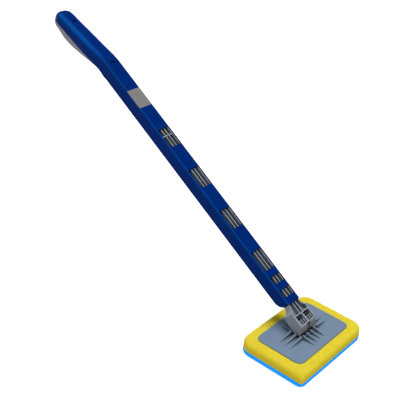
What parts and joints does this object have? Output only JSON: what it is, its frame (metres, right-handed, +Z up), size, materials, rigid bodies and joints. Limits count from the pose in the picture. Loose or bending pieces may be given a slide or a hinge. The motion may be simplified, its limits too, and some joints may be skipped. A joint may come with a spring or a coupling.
{
  "type": "window scrubber",
  "caption": "Hand scrubber for windows: a sponge and scouring pad under a ribbed plate, on a long hollow handle that tilts on a friction hinge and ends in a drooped soft grip.",
  "frame": {"origin": "centre of the scrubbing face, the flat underside of the scouring pad", "axes": "+Z up out of the head, +X along the head and the hinge pin, +Y from the head towards the grip"},
  "size_m": [0.15, 0.5483, 0.3474],
  "materials": {
    "pad_blue": "matte",
    "foam_yellow": "matte",
    "adhesive": "matte",
    "plate_grey": "satin",
    "core_grey": "satin",
    "shell_blue": "satin",
    "soft_grey": "matte",
    "steel": "satin",
    "washer_white": "satin"
  },
  "bodies": {
    "head": {"scouring_pad": "pad_blue", "pad_bond": "adhesive", "sponge": "foam_yellow", "sponge_bond": "adhesive", "head_plate": "plate_grey"},
    "handle": {"core_spine": "core_grey", "handle_front_shell": "shell_blue", "handle_back_shell": "shell_blue", "thumb_inlay": "soft_grey", "grip_pad": "soft_grey", "shell_screws": "steel", "hinge_pin": "steel", "pin_cap": "core_grey", "friction_washer_left": "washer_white", "friction_washer_right": "washer_white", "spring_washer_left": "steel", "spring_washer_right": "steel"}
  },
  "joints": [
    {"name": "tilt", "type": "hinge", "parent": "head", "child": "handle", "pos_m": [0, 0, 0.031], "axis": [1, 0, 0], "range_deg": [-14.8, 71.2]}
  ]
}
